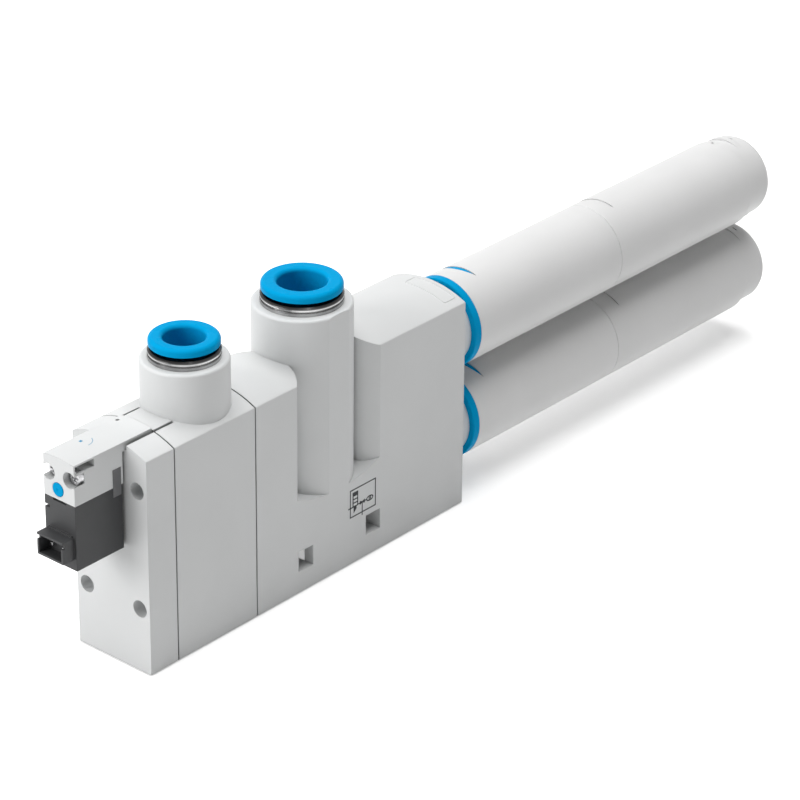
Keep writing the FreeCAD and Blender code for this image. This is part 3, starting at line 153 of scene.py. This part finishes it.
# Stretch that draws noise out to lines across one axis
ALONG_X = (12, 1, 1)
ALONG_Z = (1, 1, 6)
COLLAR_LINES = (1, 1, 16)
COLLAR_STREAKS = (1, 1, 0.05)

# Brightness of a port's plated collar at so many millimetres below its top: painted shade and
# painted highlights
COLLAR_PAINTED_BANDS = (
    (0.0, 0.03), (0.35, 0.06), (0.6, 0.16), (0.8, 0.68), (1.1, 0.60),
    (1.3, 0.20), (1.65, 0.22), (1.8, 0.44), (2.6, 0.38),
)
COLLAR_DEPTH = COLLAR_PAINTED_BANDS[-1][0]

# Printed marks: how far they stand off their face, their line widths and their inks' finish
PRINT_RAISED = 0.02 * MM
SYMBOL_LINE = 0.34
ARC_LINE = 0.12
INK_ROUGHNESS = 0.6
INK_SPECULAR = 0.2

# Raised frame on the crown
CROWN_LOW = (107.5, -9.6)
CROWN_HIGH = (111.6, 3.6)
CROWN_RADIUS = 0.6
CROWN_WIDTH = 0.42
CROWN_HEIGHT = 0.14 * MM


class Material:
    """A node material with a Principled shader and short ways to add to it."""

    def __init__(self, name, roughness=0.5, specular=0.5, metallic=0.0):
        self.data = bpy.data.materials.new(name)
        self.data.use_nodes = True
        self.tree = self.data.node_tree
        self.shader = self.tree.nodes["Principled BSDF"]
        self.shader.inputs["Roughness"].default_value = roughness
        self.shader.inputs["Specular IOR Level"].default_value = specular
        self.shader.inputs["Metallic"].default_value = metallic
        self.place = self.add("ShaderNodeTexCoord").outputs["Object"]

    def add(self, kind, **settings):
        """A new node with its settings."""
        node = self.tree.nodes.new(kind)
        for name, value in settings.items():
            setattr(node, name, value)
        return node

    def link(self, source, target):
        """Join an output to an input."""
        self.tree.links.new(source, target)

    def feed(self, source, name):
        """Join an output to one of the shader's inputs."""
        self.link(source, self.shader.inputs[name])

    def noise(self, scale, detail=2.0, stretch=(1, 1, 1)):
        """Noise over the object's own metres, at so many cells a metre."""
        mapping = self.add("ShaderNodeMapping")
        mapping.inputs["Scale"].default_value = stretch
        self.link(self.place, mapping.inputs["Vector"])
        node = self.add("ShaderNodeTexNoise")
        node.inputs["Scale"].default_value = scale
        node.inputs["Detail"].default_value = detail
        self.link(mapping.outputs["Vector"], node.inputs["Vector"])
        return node.outputs["Fac"]

    def ramp(self, source, low, high, start=0.35, end=0.65):
        """Blend two colours along a value."""
        node = self.add("ShaderNodeValToRGB")
        node.color_ramp.elements[0].position = start
        node.color_ramp.elements[0].color = low
        node.color_ramp.elements[1].position = end
        node.color_ramp.elements[1].color = high
        self.link(source, node.inputs["Fac"])
        return node.outputs["Color"]

    def spread(self, source, low, high):
        """Carry a 0 to 1 value to another range."""
        node = self.add("ShaderNodeMapRange")
        node.inputs["To Min"].default_value = low
        node.inputs["To Max"].default_value = high
        self.link(source, node.inputs["Value"])
        return node.outputs["Result"]

    def multiplied(self, first, second):
        """Two colours multiplied."""
        mixed = self.add("ShaderNodeMix", data_type="RGBA", blend_type="MULTIPLY")
        mixed.inputs["Factor"].default_value = 1.0
        self.link(first, mixed.inputs["A"])
        self.link(second, mixed.inputs["B"])
        return mixed.outputs["Result"]

    def with_painted_recess_shade(self, color):
        """A colour darkened by painted shade inside narrow recesses, seams and holes."""
        recess = self.add("ShaderNodeAmbientOcclusion", samples=RECESS_SAMPLES)
        recess.inputs["Distance"].default_value = RECESS_REACH
        open_share = self.ramp(recess.outputs["AO"], grey(RECESS_LEVEL), WHITE, *RECESS_FADE)
        return self.multiplied(color, open_share)

    def bump(self, source, strength, distance):
        """Raise the surface by a value, over softly rounded edges."""
        node = self.add("ShaderNodeBump")
        node.inputs["Strength"].default_value = strength
        node.inputs["Distance"].default_value = distance
        self.link(source, node.inputs["Height"])
        edges = self.add("ShaderNodeBevel", samples=EDGE_SAMPLES)
        edges.inputs["Radius"].default_value = EDGE_ROUND
        self.link(edges.outputs["Normal"], node.inputs["Normal"])
        self.feed(node.outputs["Normal"], "Normal")


def grey(level):
    """A grey colour."""
    return (level, level, level, 1)


def shade(color, factor):
    """A colour made lighter or darker."""
    return tuple(min(1.0, channel * factor) for channel in color[:3]) + (1.0,)


def moulded(name, color, roughness, specular=0.5, grain=GRAIN_CELLS, relief=0.10, mottle=0.02,
            tint=WHITE):
    """A moulded plastic: slight cloudiness, fine spark-eroded grain and uneven sheen."""
    material = Material(name, roughness, specular)
    material.shader.inputs["Specular Tint"].default_value = tint
    cloud = material.noise(CLOUD_CELLS, 4.0)
    color_out = material.ramp(cloud, shade(color, 1 - mottle), shade(color, 1 + mottle))
    # painted shade darkens the colour in recesses, seams and holes
    material.feed(material.with_painted_recess_shade(color_out), "Base Color")
    sheen = material.noise(SHEEN_CELLS)
    material.feed(material.spread(sheen, roughness - 0.05, roughness + 0.05), "Roughness")
    material.bump(material.noise(grain), relief, FINE_RELIEF)
    return material.data


def turned_metal(name, color, roughness, stretch):
    """A turned or drawn metal with fine lines in one direction."""
    material = Material(name, roughness, 0.5, 1.0)
    lines = material.noise(TURNED_CELLS, stretch=stretch)
    material.feed(material.ramp(lines, shade(color, 0.86), shade(color, 1.08)), "Base Color")
    material.feed(material.spread(lines, roughness - 0.06, roughness + 0.08), "Roughness")
    material.bump(lines, 0.15, FINE_RELIEF)
    return material.data


def plated_collar(name, top):
    """A plated collar: painted shade under the release ring, painted highlight and shade bands
    below it.
    """
    material = Material(name, 0.16, 0.5, 1.0)
    height = material.add("ShaderNodeSeparateXYZ")
    material.link(material.place, height.inputs["Vector"])
    depth = material.add("ShaderNodeMapRange")
    depth.inputs["From Min"].default_value = top
    depth.inputs["From Max"].default_value = top - COLLAR_DEPTH * MM
    material.link(height.outputs["Z"], depth.inputs["Value"])
    # painted shade and highlight bands, by depth below the collar's top
    bands = material.add("ShaderNodeValToRGB")
    elements = bands.color_ramp.elements
    for below, _ in COLLAR_PAINTED_BANDS[1:-1]:
        elements.new(below / COLLAR_DEPTH)
    for element, (_, level) in zip(elements, COLLAR_PAINTED_BANDS):
        element.color = grey(level)
    material.link(depth.outputs["Result"], bands.inputs["Fac"])
    streaks = material.noise(STREAK_CELLS, stretch=COLLAR_STREAKS)
    streak_color = material.ramp(streaks, grey(0.7), WHITE, 0.4, 0.6)
    material.feed(material.multiplied(bands.outputs["Color"], streak_color), "Base Color")
    lines = material.noise(COLLAR_CELLS, stretch=COLLAR_LINES)
    material.feed(material.spread(lines, 0.10, 0.24), "Roughness")
    material.bump(lines, 0.12, FINE_RELIEF)
    return material.data


def rubber(name, color):
    """A soft seal rubber with a powdery grain."""
    material = Material(name, 0.75, 0.3)
    grain = material.noise(RUBBER_CELLS, 4.0)
    material.feed(material.ramp(grain, shade(color, 0.7), shade(color, 1.5)), "Base Color")
    material.bump(grain, 0.3, RUBBER_RELIEF)
    return material.data


def open_foam(name, color):
    """An absorber's open cells, as dark pits in a pale sponge."""
    material = Material(name, 0.95, 0.1)
    cells = material.add("ShaderNodeTexVoronoi")
    cells.inputs["Scale"].default_value = FOAM_CELLS
    material.link(material.place, cells.inputs["Vector"])
    distance = cells.outputs["Distance"]
    material.feed(material.ramp(distance, shade(color, 0.35), color, 0.05, 0.4), "Base Color")
    material.bump(distance, 0.8, FOAM_RELIEF)
    return material.data


def wound_copper(name, color):
    """Enamelled wire: bands round the winding that follow each other along Z."""
    material = Material(name, 0.3, 0.5, 1.0)
    wave = material.add("ShaderNodeTexWave", bands_direction="Z")
    wave.inputs["Scale"].default_value = WIRE_CELLS
    wave.inputs["Distortion"].default_value = 0.4
    material.link(material.place, wave.inputs["Vector"])
    turns = wave.outputs["Fac"]
    material.feed(material.ramp(turns, shade(color, 0.5), shade(color, 1.2)), "Base Color")
    material.bump(turns, 0.6, WIRE_RELIEF)
    return material.data


def ink(name, color, mottle):
    """A printed mark's matt ink."""
    return moulded(name, color, INK_ROUGHNESS, INK_SPECULAR, grain=INK_CELLS, mottle=mottle)


# One material for each slot of the CAD nodes
MATERIALS = {
    "housing_plastic": moulded("housing_plastic", (0.725, 0.735, 0.735, 1), 0.48, 0.35),
    "silencer_plastic": moulded("silencer_plastic", (0.765, 0.765, 0.763, 1), 0.36, 0.4,
                                relief=0.06),
    "blue_plastic": moulded("blue_plastic", (0.002, 0.350, 0.69, 1), 0.28, 0.015,
                            relief=0.04, mottle=0.015, tint=(0.02, 0.6, 1.0, 1)),
    "coil_plastic": moulded("coil_plastic", (0.043, 0.044, 0.046, 1), 0.52, 0.4,
                            relief=0.3, mottle=0.08),
    "grey_plastic": moulded("grey_plastic", (0.16, 0.16, 0.165, 1), 0.42),
    "steel": turned_metal("steel", (0.60, 0.60, 0.61, 1), 0.26, ALONG_Z),
    "plated_sleeve": plated_collar("plated_sleeve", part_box("vacuum_sleeve")[1][2]),
    "brass": turned_metal("brass", (0.72, 0.52, 0.22, 1), 0.24, ALONG_X),
    "aluminium": turned_metal("aluminium", (0.72, 0.73, 0.74, 1), 0.30, ALONG_X),
    "seal_rubber": rubber("seal_rubber", (0.02, 0.02, 0.021, 1)),
    "copper": wound_copper("copper", (0.62, 0.27, 0.12, 1)),
    "foam": open_foam("foam", (0.55, 0.55, 0.52, 1)),
}


def dress_nodes():
    """Give every CAD node the material of its slot."""
    for part in frame["record"]["subparts"]:
        node = nodes[part["node"]]
        node.data.materials.clear()
        node.data.materials.append(MATERIALS[part["material_slot"]])


def add_object(name, data):
    """A new object in the scene."""
    thing = bpy.data.objects.new(name, data)
    bpy.context.scene.collection.objects.link(thing)
    return thing


def add_camera():
    """The photograph's camera."""
    turn = math.radians(CAMERA_TURN)
    rise = math.radians(CAMERA_RISE)
    roll = math.radians(CAMERA_ROLL)
    level = math.cos(rise)
    back = Vector((math.sin(turn) * level, -math.cos(turn) * level, math.sin(rise)))
    right = Vector((math.cos(turn), math.sin(turn), 0))
    up = back.cross(right)
    leaned_right = math.cos(roll) * right + math.sin(roll) * up
    leaned_up = math.cos(roll) * up - math.sin(roll) * right
    data = bpy.data.cameras.new("camera")
    data.sensor_width = SENSOR
    data.lens = FOCAL_PIXELS * SENSOR / (2 * HALF_IMAGE)
    data.shift_x = (HALF_IMAGE - CENTRE_PIXEL[0]) / (2 * HALF_IMAGE)
    data.shift_y = (CENTRE_PIXEL[1] - HALF_IMAGE) / (2 * HALF_IMAGE)
    data.clip_start = CAMERA_NEAR
    camera = add_object("camera", data)
    axes = Matrix((leaned_right, leaned_up, back)).transposed().to_4x4()
    camera.matrix_world = Matrix.Translation(CAMERA_TARGET + back * CAMERA_DISTANCE) @ axes
    bpy.context.scene.camera = camera


def add_light(name, power, size, place):
    """A soft square lamp that points at the part."""
    data = bpy.data.lights.new(name, "AREA")
    data.energy = power
    data.size = size
    lamp = add_object(name, data)
    lamp.location = place
    way = Vector(LAMP_AIM) - Vector(place)
    lamp.rotation_euler = way.to_track_quat("-Z", "Y").to_euler()


def seen_directly(tree):
    """1 where the camera sees a thing, also in a mirror or through glass, and 0 for its light."""
    path = tree.nodes.new("ShaderNodeLightPath")
    seen = path.outputs["Is Camera Ray"]
    for ray in ("Is Glossy Ray", "Is Transmission Ray"):
        either = tree.nodes.new("ShaderNodeMath")
        either.operation = "MAXIMUM"
        tree.links.new(seen, either.inputs[0])
        tree.links.new(path.outputs[ray], either.inputs[1])
        seen = either.outputs["Value"]
    return seen


def add_world():
    """White for the camera and for mirrors, and a plain grey light for all else."""
    world = bpy.data.worlds.new("studio")
    bpy.context.scene.world = world
    world.use_nodes = True
    tree = world.node_tree
    background = tree.nodes["Background"]
    background.inputs["Color"].default_value = WHITE
    level = tree.nodes.new("ShaderNodeMapRange")
    level.inputs["To Min"].default_value = WORLD_LEVEL
    level.inputs["To Max"].default_value = 1.0
    tree.links.new(seen_directly(tree), level.inputs["Value"])
    tree.links.new(level.outputs["Result"], background.inputs["Strength"])


def add_floor():
    """A plain pale floor just under the part."""
    mesh = bpy.data.meshes.new("floor")
    half = FLOOR_SIZE / 2
    corners = [(-half, -half, 0), (half, -half, 0), (half, half, 0), (-half, half, 0)]
    mesh.from_pydata(corners, [], [(0, 1, 2, 3)])
    floor = add_object("floor", mesh)
    material = Material("floor_paper", 0.9, 0.1)
    fibres = material.noise(PAPER_CELLS, 4.0)
    material.feed(material.ramp(fibres, grey(PAPER_DARK), grey(PAPER_PALE)), "Base Color")
    material.shader.inputs["Emission Color"].default_value = WHITE
    glow = material.spread(seen_directly(material.tree), 0.0, FLOOR_GLOW)
    material.feed(glow, "Emission Strength")
    mesh.materials.append(material.data)
    floor.location.z = cad_box[0][2] - FLOOR_DROP


def empty_piece(name, material):
    """A new piece on the housing with its material; the caller fills its mesh."""
    mesh = bpy.data.meshes.new(name)
    mesh.materials.append(material)
    piece = add_object(name, mesh)
    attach(piece, "housing")
    return piece


def near_side(point, raised=PRINT_RAISED):
    """The spot off the housing's near side for a mark's point there."""
    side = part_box("ejector_housing")[0][1] - raised
    return (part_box("end_plate")[0][0] + point.x * MM, side, point.y * MM)


def top_of(node):
    """A function that gives the spot above a node's upper face for a mark's point on top."""
    mesh = nodes[node].data
    vertices = [vertex.co for vertex in mesh.vertices]
    faces = BVHTree.FromPolygons(vertices, [face.vertices for face in mesh.polygons])
    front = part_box("end_plate")[0][0]

    def place(point, raised=PRINT_RAISED):
        """The spot on the face, so far above it."""
        above = Vector((front + point.x * MM, point.y * MM, cad_box[1][2] + MM))
        return faces.ray_cast(above, Vector((0, 0, -1)))[0] + Vector((0, 0, raised))

    return place


def add_ribbon(mesh, points, width, place, closed=False):
    """A flat printed line of even width along points, which place carries onto a face."""
    count = len(points)
    sides = []
    for i, point in enumerate(points):
        before = points[i - 1] if closed or i else None
        after = points[(i + 1) % count] if closed or i < count - 1 else None
        ways = [(Vector(end) - Vector(start)).normalized()
                for start, end in ((before, point), (point, after))
                if start is not None and end is not None]
        along = sum(ways, Vector((0, 0))).normalized()
        out = Vector((-along.y, along.x)) * width / 2 / along.dot(ways[0])
        sides.append([mesh.verts.new(place(Vector(point) + out * way)) for way in (1, -1)])
    for i in range(count if closed else count - 1):
        left, right = sides[i], sides[(i + 1) % count]
        mesh.faces.new((left[0], left[1], right[1], right[0]))


def add_patch(mesh, corners, place):
    """A flat printed patch between corners."""
    mesh.faces.new([mesh.verts.new(place(Vector(corner))) for corner in corners])


def add_bead(mesh, points, width, height, place):
    """A closed raised bead with sloping sides along points on a face."""
    foot, crest = 0.5, 0.3
    rows = ((-foot, -height / 2), (-crest, height), (crest, height), (foot, -height / 2))
    count = len(points)
    rings = []
    for i, point in enumerate(points):
        along = (Vector(points[(i + 1) % count]) - Vector(points[i - 1])).normalized()
        out = Vector((-along.y, along.x)) * width
        rings.append([mesh.verts.new(place(Vector(point) + out * reach, raised))
                      for reach, raised in rows])
    for i in range(count):
        ring, after = rings[i], rings[(i + 1) % count]
        for k in range(len(rows) - 1):
            mesh.faces.new((ring[k], ring[k + 1], after[k + 1], after[k]))


def arc_points(middle, radii, start=0.0, end=360.0, steps=28):
    """Points round an ellipse, or along its arc between two angles in degrees."""
    turns = [math.radians(start + (end - start) * i / steps) for i in range(steps + 1)]
    points = [(middle[0] + radii[0] * math.cos(turn), middle[1] + radii[1] * math.sin(turn))
              for turn in turns]
    return points[:-1] if end - start == 360 else points


def rectangle(left, bottom, right, top):
    """The corners of a rectangle."""
    return [(left, bottom), (right, bottom), (right, top), (left, top)]


def round_rectangle(low, high, radius, pitch=0.8, corner_steps=5):
    """Points at most about a pitch apart round a rectangle with round corners."""
    left, bottom = low[0] + radius, low[1] + radius
    right, top = high[0] - radius, high[1] - radius
    middles = ((right, top), (left, top), (left, bottom), (right, bottom))
    corners = []
    for quarter, middle in enumerate(middles):
        start = 90 * quarter
        corners += arc_points(middle, (radius, radius), start, start + 90, corner_steps)
    points = []
    for start, end in zip(corners, corners[1:] + corners[:1]):
        run = Vector(end) - Vector(start)
        steps = max(1, int(run.length / pitch))
        points += [tuple(Vector(start) + run * k / steps) for k in range(steps)]
    return points


def fill(piece, mesh):
    """Hand a finished mesh to its piece."""
    mesh.to_mesh(piece.data)
    mesh.free()


def add_circuit_symbol():
    """The circuit symbol on the housing's near side: a valve, a nozzle and a silencer, framed."""
    half = SYMBOL_LINE / 2
    left, bottom, right, top = 70.0, 13.3, 79.3, 20.8
    valve_left, valve_bottom, valve_right, valve_top = 71.0, 16.0, 72.7, 19.0
    arrow_left, arrow_right = 71.2, 72.3
    nozzle_start, throat, nozzle_end = 73.5, 74.4, 75.4
    supply_line, flow_line = 15.95, 16.1
    silencer, silencer_radii = (77.2, 16.1), (1.15, 0.62)
    closed_lines = (
        rectangle(left, bottom, right, top),
        rectangle(valve_left, valve_bottom, valve_right, valve_top),
        arc_points(silencer, silencer_radii),
    )
    open_lines = (
        [(valve_left + half, 17.0), (valve_right - half, 17.0)],
        [(valve_left + half, 18.0), (valve_right - half, 18.0)],
        [(69.2, supply_line), (left - half, supply_line)],
        [(left + half, supply_line), (arrow_left, supply_line)],
        [(valve_right + half, flow_line), (nozzle_start, flow_line)],
        [(nozzle_end, flow_line), (silencer[0] - silencer_radii[0] - half, flow_line)],
        [(throat, supply_line), (throat, bottom + half)],
        [(throat, bottom - half), (throat, 12.4)],
        [(77.0, 15.7), (77.0, 16.5)],
        [(77.5, 15.7), (77.5, 16.5)],
    )
    patches = (
        rectangle(valve_left - half, valve_top + half, valve_right + half, 20.0),
        [(arrow_left, valve_bottom - half), (arrow_left, 14.1),
         (arrow_right, 15.2), (arrow_right, valve_bottom - half)],
        [(nozzle_start, 15.5), (throat, 15.9), (throat, 16.3), (nozzle_start, 16.7)],
        [(throat, 15.9), (nozzle_end, 15.5), (nozzle_end, 16.7), (throat, 16.3)],
    )
    mesh = bmesh.new()
    for points in closed_lines:
        add_ribbon(mesh, points, SYMBOL_LINE, near_side, True)
    for points in open_lines:
        add_ribbon(mesh, points, SYMBOL_LINE, near_side)
    for corners in patches:
        add_patch(mesh, corners, near_side)
    print_ink = ink("print_ink", (0.045, 0.047, 0.05, 1), 0.12)
    fill(empty_piece("circuit_symbol", print_ink), mesh)


def add_crown_frame():
    """A plain raised frame on the housing's crown, near the rear face."""
    outline = round_rectangle(CROWN_LOW, CROWN_HIGH, CROWN_RADIUS)
    mesh = bmesh.new()
    add_bead(mesh, outline, CROWN_WIDTH, CROWN_HEIGHT, top_of("ejector_housing"))
    fill(empty_piece("crown_frame", MATERIALS["housing_plastic"]), mesh)


def add_pilot_marks():
    """A small printed square with an arc beside it on top of the pilot valve."""
    along, off, half = -6.8, 2.1, 0.38
    arc_radius, arc_start, arc_end, arc_steps = 2.75, -96, -18, 12
    top = top_of("pilot_body")
    mesh = bmesh.new()
    add_patch(mesh, rectangle(along - half, off - half, along + half, off + half), top)
    arc = arc_points((along, off), (arc_radius, arc_radius), arc_start, arc_end, arc_steps)
    add_ribbon(mesh, arc, ARC_LINE, top)
    blue_ink = ink("blue_ink", (0.01, 0.27, 0.50, 1), 0.1)
    fill(empty_piece("pilot_marks", blue_ink), mesh)


def add_springs():
    """Copies of the return springs on their joints' parent bodies, in place of the hidden CAD ones.
    """
    for joint in frame["joints"]:
        for soft in joint.get("deforming_nodes", []):
            node = soft["node"]
            spring = add_object(f"{node}_coil", nodes[node].data.copy())
            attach(spring, joint["parent"])
            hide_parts(node)
            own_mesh(spring)


dress_nodes()
add_springs()
add_camera()
add_world()
add_floor()
add_light("front_lamp", FRONT_POWER, FRONT_SIZE, FRONT_PLACE)
add_light("top_lamp", TOP_POWER, TOP_SIZE, TOP_PLACE)
add_circuit_symbol()
add_crown_frame()
add_pilot_marks()
bpy.context.scene.view_settings.view_transform = "Standard"
bpy.context.scene.render.film_transparent = False
